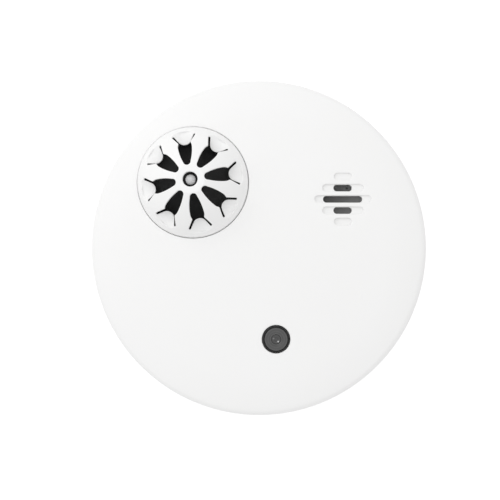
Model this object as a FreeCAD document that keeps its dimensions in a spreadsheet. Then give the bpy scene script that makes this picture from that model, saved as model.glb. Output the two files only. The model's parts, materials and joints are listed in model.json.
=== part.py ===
import FreeCAD, Part
"""Round ceiling alarm for smoke and heat: a bayonet bracket and a head with an offset sensor cage.

Millimetres. The origin is the centre of the bracket's back, +Z points out of the face, +Y is up the face.
"""
import math
import os

import Sketcher
from FreeCAD import Placement, Rotation, Vector

doc = FreeCAD.newDocument("alarm")
sheet = doc.addObject("Spreadsheet::Sheet", "sizes")
parts = []


# ---------------------------------------------------------------- sizes

class Size:
    """A length or angle that knows its number and the formula that ties it to the spreadsheet."""

    def __init__(self, formula, number):
        self.formula = formula
        self.number = number

    def join(self, sign, other, number):
        return Size(f"({self.formula} {sign} {as_size(other).formula})", number)

    def __add__(self, other):
        return self.join("+", other, self.number + as_size(other).number)

    def __sub__(self, other):
        return self.join("-", other, self.number - as_size(other).number)

    def __mul__(self, other):
        return self.join("*", other, self.number * as_size(other).number)

    def __truediv__(self, other):
        return self.join("/", other, self.number / as_size(other).number)

    def __radd__(self, other):
        return as_size(other) + self

    def __rsub__(self, other):
        return as_size(other) - self

    def __rmul__(self, other):
        return as_size(other) * self

    def __rtruediv__(self, other):
        return as_size(other) / self

    def __neg__(self):
        return as_size(0) - self


def as_size(thing):
    return thing if isinstance(thing, Size) else Size(repr(float(thing)), float(thing))


def cosine(angle):
    angle = as_size(angle)
    return Size(f"cos({angle.formula} * 1 deg)", math.cos(math.radians(angle.number)))


def sine(angle):
    angle = as_size(angle)
    return Size(f"sin({angle.formula} * 1 deg)", math.sin(math.radians(angle.number)))


def root(size):
    return Size(f"sqrt({size.formula})", math.sqrt(size.number))


def tie_to_sheet(names):
    """Writes every named number into the spreadsheet, and makes its name stand for that cell."""
    numbers = {name: thing for name, thing in names.items() if isinstance(thing, (int, float))}
    for row, (name, number) in enumerate(numbers.items(), 1):
        sheet.set(f"A{row}", name)
        sheet.set(f"B{row}", str(number))
        sheet.setAlias(f"B{row}", name)
        names[name] = Size(f"sizes.{name}", float(number))


fit_gap = 0.05          # round a shaft or plunger
seam_gap = 0.3          # between mouldings
blend = 0.05            # overlap of features that grow into one moulding

# Bracket
bracket_step = 5        # how far the plate stays inside the cover's edge
plate_thick = 2
cable_radius = 19
ring_wall = 2
ring_top = 7.4
hook_reach = 3.4
hook_thick = 1.6
hook_angle = 24
hook_count = 3
stop_angle = 3
screw_spacing = 60
screw_slot_length = 12
screw_slot_half = 2.4
rib_thick = 1.4
rib_height = 2

# Back case
back_gap = 0.6          # from the bracket's plate to the case
case_wall = 2
case_step = 0.8         # how far the case stays inside the cover's edge
case_draft = 0.8
recess_gap = 1.6        # over the bracket's ring
seam_height = 16
lip_wall = 1.2
lip_height = 2.4
tab_root = 2.6          # from the hooks to the wall of the recess
tab_angle = 22
tab_thick = 1.6
post_radius = 3
post_count = 3
post_start = 90
case_screw_radius = 1.25
case_screw_head = 2.4
case_screw_length = 17

# Front cover
cover_radius = 58
cover_wall = 2
face_top = 34
face_thick = 2.8
face_rim = 14           # the face bends down more steeply over this width
face_fall = 0.6
face_bow = 70
edge_fall = 2
edge_width = 2.4
edge_drop = 2.83
edge_round = 3
cover_draft = 0.5

# Sensor cage
cage_margin = 7.16      # from its foot to the cover's edge
cage_bearing = 135.24
cage_turn = 10.45
cage_radius = 19
cage_wall = 1.5
cage_height = 13.2
cage_draft = 0.5
cage_dome = 32
rim_height = 0.9        # of the dome's foot above the cover
flange_reach = 1.5
cage_flange_thick = 1.4
collar_wall = 1.4
collar_drop = 1.5
hub_radius = 4.7
hub_hole = 2.47
window_count = 8
window_end = 1.15
belly_place = 10.9
belly_half = 2.24
neck_place = 12.7
neck_half = 1.9
slot_tip_place = 15.4
slot_tip_half = 3.93
chord_place = 16.8
chord_half = 4.4
fishtail_slot = 0.6
tongue_tip = 12.55
tongue_tip_half = 1.35
tongue_slope = 15
tongue_thick = 1.2
trough_radius = 6.5

# Sounder
sounder_margin = 12.4   # from its housing to the cover's edge
sounder_bearing = 30.2
grille_pitch = 3.85
grille_height = 2.5
grille_depth = 0.8
row_outer = 6
row_middle = 14
row_centre = 19.4
slot_middle = 6.1
slot_centre = 13.3
sounder_radius = 12.4
sounder_wall = 1.2
gasket_thick = 1.4
screen_thick = 0.4
disc_rim = 0.5
disc_thick = 0.4

# Test button and switches
button_margin = 19.96   # from its flange to the cover's edge
button_bearing = -79.4
button_radius = 5.05
flange_width = 1.25
button_proud = 0.2
lens_radius = 1.65
finger_offset = 4.7
finger_radius = 1.4
switch_side = 5.2
switch_height = 3.2
plunger_radius = 1.5
plunger_proud = 1.6
tamper_margin = 15      # from its plunger to the wall of the recess
tamper_bearing = -82

# Board and what stands on it
board_gap = 1.2         # round the board, to the posts of the case
board_lift = 4.2
board_thick = 1.6
board_post_inset = 4.2
board_post_radius = 2.6
board_screw_radius = 0.9
cell_radius = 8.5
cell_length = 34.5
cell_margin = 3
cell_bearing = 215
chamber_gap = 1
chamber_sink = 2.4      # of the smoke chamber's roof below the face
screen_wall = 0.4
pod_side = 4.6
diode_radius = 1.5
led_bearing = 200
diode_bearing = 320
vane_count = 18
bead_radius = 1.73
bead_sink = 1
tie_to_sheet(globals())


def polar(radius, angle):
    return radius * cosine(angle), radius * sine(angle)


# Worked out from the driving sizes, from the cover's edge inwards and from the ceiling outwards
plate_radius = cover_radius - bracket_step
case_radius = cover_radius - case_step
post_circle = case_radius - case_wall - post_radius - 1.8
board_radius = post_circle - post_radius - board_gap
board_post_circle = board_radius - board_post_inset
recess_wall = case_wall - 0.2
recess_radius = post_circle - post_radius - recess_wall + 0.4
ring_radius = recess_radius - tab_root - hook_reach
cell_place = root((board_radius - cell_margin) * (board_radius - cell_margin)
                  - cell_length * cell_length / 4) - cell_radius
cage_x, cage_y = polar(cover_radius - cage_margin - cage_radius, cage_bearing)
grille_x, grille_y = polar(cover_radius - sounder_margin - sounder_radius, sounder_bearing)
button_flange = button_radius + flange_width
button_x, button_y = polar(cover_radius - button_margin - button_flange, button_bearing)
tamper_place = recess_radius - tamper_margin
face_radius = cover_radius - face_rim
cage_flange = cage_radius + flange_reach
chamber_radius = cage_radius - cage_wall - chamber_gap
disc_radius = sounder_radius - sounder_wall - disc_rim

case_back = plate_thick + back_gap
recess_roof = ring_top + recess_gap
floor_top = recess_roof + recess_wall
board_bottom = floor_top + board_lift
board_top = board_bottom + board_thick
roof_inside = face_top - face_thick
chamber_roof = face_top - chamber_sink
cage_top = face_top - 0.4 + cage_height
flange_top = roof_inside - collar_drop
gasket_top = roof_inside - screen_thick
housing_top = gasket_top - gasket_thick
hook_top = ring_top - 0.6
hook_bottom = hook_top - hook_thick
tab_top = hook_bottom - 0.2
tab_inner = ring_radius + seam_gap + 0.2
BOARD_POSTS = (95, -5, 175)


# ---------------------------------------------------------------- drawing tools

class Bow:
    """In an outline: the next edge is an arc of this radius, to the left (1) or right (-1) of its chord."""

    def __init__(self, radius, side):
        self.radius = as_size(radius)
        self.side = side


def bind(thing, prop, size):
    size = as_size(size)
    if "sizes." in size.formula or "." in prop:
        thing.setExpression(prop, size.formula)
    else:
        setattr(thing, prop, size.number)


def place(thing, at, turn=None, axis=(0, 0, 1)):
    """Puts a thing at a point, turned by an angle about an axis."""
    if turn is not None:
        thing.Placement = Placement(Vector(0, 0, 0), Rotation(Vector(*axis), as_size(turn).number))
        bind(thing, "Placement.Rotation.Angle", turn)
    for letter, size in zip("xyz", at):
        bind(thing, f"Placement.Base.{letter}", size)
    return thing


def node(thing, label):
    """Names a finished sub-part and keeps it for the export."""
    thing.Label = label
    parts.append(thing)
    return thing


def new_body(label, at=(0, 0, 0), turn=None):
    body = doc.addObject("PartDesign::Body", label)
    return place(body, at, turn)


def plane(body, role):
    return next(f for f in body.Origin.OriginFeatures if f.Role == role)


def fix(sketch, edge, end, x, y):
    """Ties one end (1 or 2) or the centre (3) of a sketch edge to a point."""
    for kind, size in (("DistanceX", x), ("DistanceY", y)):
        if size is None:
            continue
        size = as_size(size)
        rule = sketch.addConstraint(Sketcher.Constraint(kind, -1, 1, edge, end, size.number))
        if "sizes." in size.formula:
            sketch.setExpression(f"Constraints[{rule}]", size.formula)


def arc_through(start, end, radius, side):
    """The minor arc from start to end, and whether it runs clockwise."""
    chord = end - start
    half = chord.Length / 2
    left = Vector(-chord.y, chord.x, 0).normalize() * side
    lift = radius - math.sqrt(max(radius * radius - half * half, 0))
    return Part.Arc(start, (start + end) / 2 + left * lift, end), side > 0


def draw(body, name, role, outlines, height=0):
    """A sketch on one of the body's planes: each outline is a list of points with a Bow before an arc."""
    sketch = body.newObject("Sketcher::SketchObject", name)
    sketch.AttachmentSupport = [(plane(body, role), "")]
    sketch.MapMode = "FlatFace"
    bind(sketch, "AttachmentOffset.Base.z", height)
    for outline in outlines:
        if isinstance(outline, tuple):
            draw_circle(sketch, *outline)
        else:
            draw_outline(sketch, outline)
    return sketch


def draw_circle(sketch, x, y, radius):
    x, y, radius = as_size(x), as_size(y), as_size(radius)
    circle = Part.Circle(Vector(x.number, y.number, 0), Vector(0, 0, 1), radius.number)
    edge = sketch.addGeometry(circle, False)
    fix(sketch, edge, 3, x, y)
    rule = sketch.addConstraint(Sketcher.Constraint("Radius", edge, radius.number))
    if "sizes." in radius.formula:
        sketch.setExpression(f"Constraints[{rule}]", radius.formula)


def draw_outline(sketch, outline):
    corners = [item for item in outline if not isinstance(item, Bow)]
    bows = {}
    count = 0
    for item in outline:
        if isinstance(item, Bow):
            bows[count - 1] = item
        else:
            count += 1
    spots = [Vector(as_size(x).number, as_size(y).number, 0) for x, y in corners]
    ends = []
    for i, start in enumerate(spots):
        end = spots[(i + 1) % count]
        if i in bows:
            arc, clockwise = arc_through(start, end, bows[i].radius.number, bows[i].side)
            edge = sketch.addGeometry(arc, False)
            ends.append((edge, 2, 1) if clockwise else (edge, 1, 2))
        else:
            edge = sketch.addGeometry(Part.LineSegment(start, end), False)
            ends.append((edge, 1, 2))
    for i, (edge, first, last) in enumerate(ends):
        after, after_first, _ = ends[(i + 1) % count]
        sketch.addConstraint(Sketcher.Constraint("Coincident", edge, last, after, after_first))
        fix(sketch, edge, first, *corners[i])
    for i, bow in bows.items():
        edge = ends[i][0]
        half = (spots[(i + 1) % count] - spots[i]).Length / 2
        if abs(bow.radius.number - half) < 1e-6:  # a half circle: its centre is the middle of the chord
            (xa, ya), (xb, yb) = corners[i], corners[(i + 1) % count]
            if abs(spots[i].y - spots[(i + 1) % count].y) > abs(spots[i].x - spots[(i + 1) % count].x):
                fix(sketch, edge, 3, (as_size(xa) + xb) / 2, None)
            else:
                fix(sketch, edge, 3, None, (as_size(ya) + yb) / 2)
            continue
        rule = sketch.addConstraint(Sketcher.Constraint("Radius", edge, bow.radius.number))
        if "sizes." in bow.radius.formula:
            sketch.setExpression(f"Constraints[{rule}]", bow.radius.formula)


def box_outline(x, y, length, width):
    """A rectangle round a centre."""
    return [(x - length / 2, y - width / 2), (x + length / 2, y - width / 2),
            (x + length / 2, y + width / 2), (x - length / 2, y + width / 2)]


def slot_outline(x, y, length, half):
    """A slot with round ends along X, with its end-to-end length."""
    left = x - length / 2 + half
    right = x + length / 2 - half
    return [(left, y - half), (right, y - half), Bow(half, -1), (right, y + half), (left, y + half),
            Bow(half, -1)]


def revolve(body, sketch, name="turn", angle=360, axis="V_Axis", kind="PartDesign::Revolution"):
    turn = body.newObject(kind, name)
    turn.Profile = sketch
    turn.ReferenceAxis = (sketch, [axis])
    bind(turn, "Angle", angle)
    turn.Midplane = True
    return turn


def turned(label, outline, at=(0, 0, 0), turn=None, axis="V_Axis"):
    """A body that is one outline turned about its own Z axis, or about X with the axis H_Axis."""
    body = new_body(label, at, turn)
    revolve(body, draw(body, "section", "XZ_Plane", [outline]), axis=axis)
    return body


def pad(body, name, outlines, bottom, top):
    """Adds a column between two heights."""
    feature = body.newObject("PartDesign::Pad", name)
    feature.Profile = draw(body, name + "_outline", "XY_Plane", outlines, bottom)
    bind(feature, "Length", as_size(top) - bottom)
    return feature


def pocket(body, name, outlines, bottom, top):
    """Cuts a column between two heights."""
    feature = body.newObject("PartDesign::Pocket", name)
    feature.Profile = draw(body, name + "_outline", "XY_Plane", outlines, top)
    bind(feature, "Length", as_size(top) - bottom)
    return feature


def around(body, name, features, count):
    """Repeats features about the body's Z axis."""
    pattern = body.newObject("PartDesign::PolarPattern", name)
    pattern.Originals = features
    pattern.Axis = (plane(body, "Z_Axis"), [""])
    pattern.Angle = 360
    if isinstance(count, Size):
        bind(pattern, "Occurrences", count)
    else:
        pattern.Occurrences = count
    body.Tip = pattern
    return pattern


def cylinder(name, radius, height, at, turn=None, axis=(0, 0, 1)):
    thing = doc.addObject("Part::Cylinder", name)
    bind(thing, "Radius", radius)
    bind(thing, "Height", height)
    return place(thing, at, turn, axis)


def block(name, length, width, height, at, turn=None):
    """A box whose centre of the bottom is at a point, turned about that point."""
    thing = doc.addObject("Part::Box", name)
    bind(thing, "Length", length)
    bind(thing, "Width", width)
    bind(thing, "Height", height)
    turn = as_size(0 if turn is None else turn)
    x, y, z = at
    reach_x = cosine(turn) * length / 2 - sine(turn) * width / 2
    reach_y = sine(turn) * length / 2 + cosine(turn) * width / 2
    return place(thing, (x - reach_x, y - reach_y, z), turn)


def cut(name, base, *tools):
    tool = tools[0] if len(tools) == 1 else fuse(name + "_tools", *tools)
    thing = doc.addObject("Part::Cut", name)
    thing.Base = base
    thing.Tool = tool
    return thing


def fuse(name, *things):
    thing = doc.addObject("Part::MultiFuse", name)
    thing.Shapes = list(things)
    return thing


def common(name, *things):
    thing = doc.addObject("Part::MultiCommon", name)
    thing.Shapes = list(things)
    return thing


def tube(name, outer, inner, height, at):
    x, y, z = at
    hole = cylinder(name + "_hole", inner, height + 2, (x, y, z - 1))
    return cut(name, cylinder(name + "_outer", outer, height, at), hole)


# ---------------------------------------------------------------- bracket

def mounting_bracket():
    hook_outer = ring_radius + hook_reach
    body = turned("mounting_bracket", [
        (cable_radius, 0), (plate_radius, 0), (plate_radius, plate_thick),
        (ring_radius, plate_thick), (ring_radius, ring_top), (ring_radius - ring_wall, ring_top),
        (ring_radius - ring_wall, plate_thick), (cable_radius + ring_wall, plate_thick),
        (cable_radius + ring_wall, plate_thick + rib_height), (cable_radius, plate_thick + rib_height)])
    hook = revolve(body, draw(body, "hook_section", "XZ_Plane", [[
        (ring_radius - blend, hook_bottom), (hook_outer, hook_bottom),
        (hook_outer, hook_top), (ring_radius - blend, hook_top)]]), "hook", hook_angle)
    stop = draw(body, "stop_section", "XZ_Plane", [[
        (ring_radius - blend, plate_thick - blend), (hook_outer, plate_thick - blend),
        (hook_outer, hook_top), (ring_radius - blend, hook_top)]])
    stop_turn = revolve(body, stop, "stop", stop_angle)
    stop_turn.Midplane = False
    stop.AttachmentOffset = Placement(Vector(), Rotation(Vector(0, 1, 0), 0))
    bind(stop, "AttachmentOffset.Rotation.Angle", -(hook_angle / 2 + stop_angle - 0.2))
    around(body, "hooks", [hook, stop_turn], hook_count)
    rib_inner = cable_radius + ring_wall - blend
    rib_outer = ring_radius - ring_wall + blend
    rib = pad(body, "rib", [[
        (rib_inner, -(rib_thick / 2)), (rib_outer, -(rib_thick / 2)),
        (rib_outer, rib_thick / 2), (rib_inner, rib_thick / 2)]],
        plate_thick - blend, plate_thick + rib_height)
    rib.Profile[0].AttachmentOffset = Placement(Vector(), Rotation(Vector(0, 0, 1), 45))
    bind(rib.Profile[0], "AttachmentOffset.Base.z", plate_thick - blend)
    around(body, "ribs", [rib], 4)
    pocket(body, "screw_slots", [
        slot_outline(screw_spacing / 2, as_size(0), screw_slot_length, screw_slot_half),
        slot_outline(-(screw_spacing / 2), as_size(0), screw_slot_length, screw_slot_half)],
        -1, plate_thick + 1)
    return node(body, "mounting_bracket")


# ---------------------------------------------------------------- housing

def back_case():
    inner = case_radius - case_wall
    lip_outer = cover_radius - cover_draft - cover_wall - seam_gap
    body = turned("back_case", [
        (0, recess_roof), (recess_radius, recess_roof), (recess_radius, case_back),
        (case_radius - case_draft, case_back), (case_radius, seam_height),
        (lip_outer, seam_height), (lip_outer, seam_height + lip_height),
        (lip_outer - lip_wall, seam_height + lip_height), (lip_outer - lip_wall, seam_height - 3),
        (inner, seam_height - 4), (inner - case_draft / 2, case_back + case_wall),
        (recess_radius + recess_wall, case_back + case_wall),
        (recess_radius + recess_wall, floor_top), (0, floor_top)])
    tab = revolve(body, draw(body, "tab_section", "XZ_Plane", [[
        (tab_inner, tab_top - tab_thick), (recess_radius + blend, tab_top - tab_thick),
        (recess_radius + blend, tab_top), (tab_inner, tab_top)]]), "tab", tab_angle)
    around(body, "tabs", [tab], hook_count)
    x, y = polar(post_circle, post_start)
    head_seat = case_back + 4.8
    post = pad(body, "post", [(x, y, post_radius + 0.2)], case_back, seam_height - 2)
    head_well = pocket(body, "head_well", [(x, y, case_screw_head + 0.3)], case_back - 1, head_seat)
    screw_hole = pocket(body, "screw_hole", [(x, y, case_screw_radius + 0.3)], case_back, seam_height)
    around(body, "posts", [post, head_well, screw_hole], post_count)
    board_posts = [(*polar(board_post_circle, angle), board_post_radius) for angle in BOARD_POSTS]
    pad(body, "board_posts", board_posts, floor_top - blend, board_bottom)
    pilots = [(*polar(board_post_circle, angle), board_screw_radius + fit_gap) for angle in BOARD_POSTS]
    pocket(body, "board_pilots", pilots, floor_top, board_bottom + 1)
    tamper = (*polar(tamper_place, tamper_bearing), plunger_radius + 0.2)
    pocket(body, "tamper_hole", [tamper], recess_roof - 1, floor_top + 1)
    return node(body, "back_case")


def case_screws():
    seat = case_back + 4.8 - 1.8
    screws = []
    for i in range(int(post_count.number)):
        x, y = polar(post_circle, post_start + 360 * i / post_count)
        head = cylinder(f"case_screw_head_{i}", case_screw_head, 1.8, (x, y, seat))
        shank = cylinder(f"case_screw_shank_{i}", case_screw_radius, case_screw_length, (x, y, seat + 1))
        recess = block(f"case_screw_slot_{i}", 0.7 * case_screw_head, 0.7, 1, (x, y, seat - 0.2))
        screws.append(cut(f"case_screw_{i}", fuse(f"case_screw_blank_{i}", head, shank), recess))
    return node(fuse("case_screws", *screws), "case_screws")


def front_cover():
    skirt_inner = cover_radius - cover_draft - cover_wall
    face_edge = cover_radius - edge_width
    edge_top = face_top - edge_fall
    edge_low = edge_top - edge_drop
    body = turned("front_cover", [
        (0, roof_inside), (0, face_top),
        Bow((face_radius * face_radius + face_fall * face_fall) / (2 * face_fall), 1),
        (face_radius, face_top - face_fall), Bow(face_bow, 1), (face_edge, edge_top),
        Bow(edge_round, 1), (cover_radius, edge_low),
        (cover_radius - cover_draft, seam_height + seam_gap),
        (skirt_inner, seam_height + seam_gap),
        (skirt_inner + cover_draft / 2, edge_low - 0.8),
        (skirt_inner - 1.6, roof_inside - 1.1), (face_radius + 3.5, roof_inside)])
    pad(body, "cage_collar", [(cage_x, cage_y, cage_radius + seam_gap + collar_wall)],
        flange_top, roof_inside + blend)
    pocket(body, "cage_hole", [(cage_x, cage_y, cage_radius + seam_gap * 0.8)],
           flange_top - 1, face_top + 1)
    recesses = []
    slots = []
    for row, (wide, open_width) in enumerate(((row_outer, None), (row_middle, slot_middle),
                                              (row_centre, slot_centre), (row_middle, slot_middle),
                                              (row_outer, None))):
        y = grille_y + grille_pitch * (row - 2)
        recesses.append(slot_outline(grille_x, y, wide, grille_height / 2))
        if open_width is not None:
            slots.append(slot_outline(grille_x, y, open_width, grille_height / 2 - 0.06))
    pocket(body, "grille_recesses", recesses, face_top - face_fall - grille_depth + 0.3, face_top + 1)
    pocket(body, "grille_slots", slots, roof_inside - 1, face_top + 1)
    pocket(body, "button_hole", [(button_x, button_y, button_radius + seam_gap)],
           roof_inside - 1, face_top + 1)
    x, y = polar(post_circle, post_start)
    post = pad(body, "post", [(x, y, post_radius)], seam_height - 1.9, roof_inside - 0.5)
    pilot = pocket(body, "post_pilot", [(x, y, case_screw_radius + fit_gap)],
                   seam_height - 3, case_back + 5 + case_screw_length)
    around(body, "posts", [post, pilot], post_count)
    return node(body, "front_cover")


# ---------------------------------------------------------------- sensor cage

def dome_height(radius, skin):
    """Height of the dome's outside at a radius, or of its inside with the skin taken off."""
    shoulder = face_top - 0.6 + rim_height
    run = cage_radius - cage_draft - hub_radius
    fall = cage_top - shoulder
    span = root(run * run + fall * fall)
    lift = root(cage_dome * cage_dome - span * span / 4) / span
    centre_x = hub_radius + run / 2 - fall * lift
    centre_z = cage_top - fall / 2 - run * lift
    bow = cage_dome - skin
    reach = radius - centre_x
    return centre_z + root(bow * bow - reach * reach)


def cage_outline(skin):
    """The outer edge of the cage's section above its flange, set in by the skin's thickness."""
    dome_foot = cage_radius - cage_draft - skin
    return ((cage_radius - skin, face_top - 0.6), (dome_foot, dome_height(dome_foot, skin)),
            (hub_radius, dome_height(hub_radius, skin)), cage_dome - skin)


def window_outline():
    """One window in plan, along +X: round end at the hub, belly, neck, then wider to a straight chord."""
    end = hub_radius + 0.1 + window_end
    return [(end, -window_end), Bow(17, -1), (belly_place, -belly_half), Bow(3, -1), (neck_place, -neck_half),
            (slot_tip_place, -slot_tip_half), (chord_place, -chord_half), (chord_place, chord_half),
            (slot_tip_place, slot_tip_half), (neck_place, neck_half), Bow(3, -1),
            (belly_place, belly_half), Bow(17, -1), (end, window_end), Bow(window_end, -1)]


def tongue_outline():
    """One tongue in plan: a round tip, hollow flanks along the slots, and a root wider than the window."""
    tip_end = tongue_tip + 0.75
    root_place = slot_tip_place - 0.1
    root_half = slot_tip_half - fishtail_slot
    rim_half = chord_half + 0.3
    return [(tip_end, -tongue_tip_half), Bow(6, 1), (root_place, -root_half),
            (slot_tip_place + 0.5, -(slot_tip_half + 0.4)), (chord_place + 0.6, -rim_half),
            (chord_place + 0.6, rim_half), (slot_tip_place + 0.5, slot_tip_half + 0.4),
            (root_place, root_half), Bow(6, 1), (tip_end, tongue_tip_half), Bow(1.6, -1)]


def sensor_cage():
    (foot_radius, foot), (shoulder_radius, shoulder), (hub_edge, hub_height), dome = cage_outline(as_size(0))
    inside_foot, inside_shoulder, inside_hub, inside_dome = cage_outline(cage_wall)
    shell = turned("cage_shell", [
        (hub_hole, hub_height - 0.5), (hub_hole + 0.5, hub_height), (hub_edge, hub_height),
        Bow(dome, 1), (shoulder_radius, shoulder), (foot_radius, foot),
        (foot_radius, flange_top), (cage_flange, flange_top),
        (cage_flange, flange_top - cage_flange_thick), (foot_radius - cage_wall, flange_top - cage_flange_thick),
        inside_foot, inside_shoulder, Bow(inside_dome, -1), inside_hub, (hub_hole, inside_hub[1])])
    window = pocket(shell, "window", [window_outline()], shoulder - 1.6, cage_top + 1)
    around(shell, "windows", [window], window_count)

    solid = turned("cage_solid", [
        (0, foot), (0, hub_height), (hub_edge, hub_height), Bow(dome, 1), (shoulder_radius, shoulder),
        (foot_radius, foot)])
    plan = new_body("tongue_plan")
    pad(plan, "column", [tongue_outline()], foot, cage_top)
    lean = 90 - tongue_slope
    start = 4
    reach = trough_radius * sine(tongue_slope) + start * cosine(tongue_slope)
    rise = trough_radius * cosine(tongue_slope) - start * sine(tongue_slope)
    at = (chord_place + reach, as_size(0), dome_height(chord_place, as_size(0)) - 1.3 + rise)
    barrel = cylinder("trough_outside", trough_radius + tongue_thick, 16, at, -lean, (0, 1, 0))
    hollow = cylinder("trough_inside", trough_radius, 16, at, -lean, (0, 1, 0))
    trough = cut("trough", barrel, hollow)
    lower = block("trough_keep", 12, 14, 14, (cage_radius - 4, as_size(0), foot))
    scoop = common("scoop", trough, plan, solid, lower)
    wall = tube("rim_wall", cage_radius, shoulder_radius - 1.7, cage_height, (0, 0, foot))
    sill = cut("sill", common("sill_blank", wall, plan, solid), hollow)
    tongue = fuse("tongue", scoop, sill)
    copies = [tongue]
    for i in range(1, int(window_count.number)):
        copy = doc.addObject("App::Link", f"tongue_{i}")
        copy.LinkedObject = tongue
        copy.Placement = Placement(Vector(), Rotation(Vector(0, 0, 1), 360 * i / window_count.number))
        copies.append(copy)
    cage = fuse("sensor_cage", shell, *copies)
    return node(place(cage, (cage_x, cage_y, 0), cage_turn), "sensor_cage")


# ---------------------------------------------------------------- smoke chamber and thermistor

CHAMBER = (cage_x, cage_y, 0)
chamber_floor = board_top + 1.6
beam_height = chamber_floor + 3


def chamber_base():
    body = turned("chamber_base_dish", [
        (0, board_top), (chamber_radius, board_top), (chamber_radius, chamber_floor - 0.8),
        (chamber_radius - screen_wall - 0.1, chamber_floor - 0.8),
        (chamber_radius - screen_wall - 0.1, chamber_floor), (0, chamber_floor)])
    dish = place(body, CHAMBER)
    pods = []
    for name, bearing in (("led", led_bearing), ("diode", diode_bearing)):
        pod = new_body(f"{name}_pod", CHAMBER, bearing)
        pad(pod, "pod", [box_outline(as_size(8.4), as_size(0), 5, pod_side)],
            chamber_floor - blend, beam_height + pod_side / 2)
        bore = draw(pod, "bore_section", "XZ_Plane", [[
            (5, 0), (9.6, 0), (9.6, diode_radius + fit_gap), (5, diode_radius + fit_gap)]], 0)
        revolve(pod, bore, "bore", 360, "H_Axis", "PartDesign::Groove")
        bind(bore, "AttachmentOffset.Base.y", beam_height)
        pods.append(pod)
    return node(fuse("chamber_base", dish, *pods), "chamber_base")


def diode(label, bearing):
    """A small round diode with a domed nose, lying in its pod and looking at the chamber's middle."""
    x, y = polar(7.6, bearing)
    body = turned(label, [
        (-diode_radius, 0), Bow(2.2, 1), (0, diode_radius), (2, diode_radius), (2, 0)],
        (cage_x + x, cage_y + y, beam_height), bearing, "H_Axis")
    return node(body, label)


def labyrinth():
    """The ring of bent vanes that lets smoke in and keeps light out."""
    outer = chamber_radius - screen_wall - 0.3
    inner = outer - 4.4
    bend = (outer + inner) / 2
    body = turned("labyrinth", [
        (inner, chamber_roof - 1), (outer, chamber_roof - 1), (outer, chamber_roof), (inner, chamber_roof)])
    vane = pad(body, "vane", [[
        (inner + 0.1, 0.8), (bend, -1.3), (outer - 0.2, 0.8), (outer - 0.2, 1.6), (bend, -0.4),
        (inner + 0.1, 1.6)]], chamber_floor, chamber_roof - 0.5)
    around(body, "vanes", [vane], vane_count)
    return node(place(body, CHAMBER), "labyrinth")


def insect_screen():
    """A thin perforated sleeve round the labyrinth."""
    inner = chamber_radius - screen_wall
    low = chamber_floor - 0.8
    body = turned("insect_screen", [
        (inner, low), (chamber_radius, low), (chamber_radius, chamber_roof), (inner, chamber_roof)])
    rows = 2
    pitch = (chamber_roof - low - 1) / rows
    windows = [[(inner - 1, low + 1 + pitch * row), (chamber_radius + 1, low + 1 + pitch * row),
                (chamber_radius + 1, low + pitch * (row + 1)), (inner - 1, low + pitch * (row + 1))]
               for row in range(rows)]
    sketch = draw(body, "window_sections", "XZ_Plane", windows)
    window = revolve(body, sketch, "windows", 17, kind="PartDesign::Groove")
    around(body, "perforation", [window], 16)
    return node(place(body, CHAMBER), "insect_screen")


def chamber_cover():
    body = turned("chamber_cover", [
        (1.5, chamber_roof), (chamber_radius, chamber_roof), (chamber_radius, chamber_roof + 0.8),
        (chamber_radius - 1.6, chamber_roof + 1.4), (4.5, chamber_roof + 2.6), (3, chamber_roof + 4),
        (1.5, chamber_roof + 4)])
    return node(place(body, CHAMBER), "chamber_cover")


bead_height = cage_top - bead_sink - bead_radius


def thermistor_holder():
    body = turned("thermistor_holder", [
        (0.9, chamber_roof + 0.4), (1.5, chamber_roof + 0.4), (1.5, chamber_roof + 4),
        (2.6, chamber_roof + 4), (2.2, chamber_roof + 5), (1.7, bead_height - 1.6), (0.9, bead_height - 1.6)])
    return node(place(body, CHAMBER), "thermistor_holder")


def thermistor():
    bead = doc.addObject("Part::Sphere", "bead")
    bind(bead, "Radius", bead_radius)
    place(bead, (cage_x, cage_y, bead_height))
    leads = [cylinder(f"lead_{side}", 0.25, 7, (cage_x + 0.45 * side, cage_y, bead_height - 8.2))
             for side in (-1, 1)]
    return node(fuse("thermistor", bead, *leads), "thermistor")


# ---------------------------------------------------------------- board and cell

cell_x, cell_y = polar(cell_place, cell_bearing)
CELL_TURN = cell_bearing + 90


def main_board():
    disc = cylinder("board_disc", board_radius, board_thick, (0, 0, board_bottom))
    notch = block("cell_notch", cell_length + 0.8, 2 * cell_radius + 1, board_thick + 2,
                  (cell_x, cell_y, board_bottom - 1), CELL_TURN)
    holes = [cylinder(f"board_hole_{i}", board_screw_radius + 0.15, board_thick + 2,
                      (*polar(board_post_circle, angle), board_bottom - 1))
             for i, angle in enumerate(BOARD_POSTS)]
    return node(cut("main_board", disc, notch, *holes), "main_board")


def board_screws():
    screws = []
    for i, angle in enumerate(BOARD_POSTS):
        x, y = polar(board_post_circle, angle)
        head = cylinder(f"board_screw_head_{i}", board_screw_radius + 1, 1.3, (x, y, board_top))
        shank = cylinder(f"board_screw_shank_{i}", board_screw_radius, 5, (x, y, board_top - 4.9))
        screws.append(fuse(f"board_screw_{i}", head, shank))
    return node(fuse("board_screws", *screws), "board_screws")


def lithium_cell():
    half = cell_length / 2
    body = turned("lithium_cell", [
        (-half, 0), (-half, cell_radius - 0.6), (-half + 0.6, cell_radius), (half - 1.4, cell_radius),
        (half - 1, cell_radius - 0.7), (half - 1, 3), (half, 3), (half, 0)],
        (cell_x, cell_y, floor_top + cell_radius), CELL_TURN, "H_Axis")
    return node(body, "lithium_cell")


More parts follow.
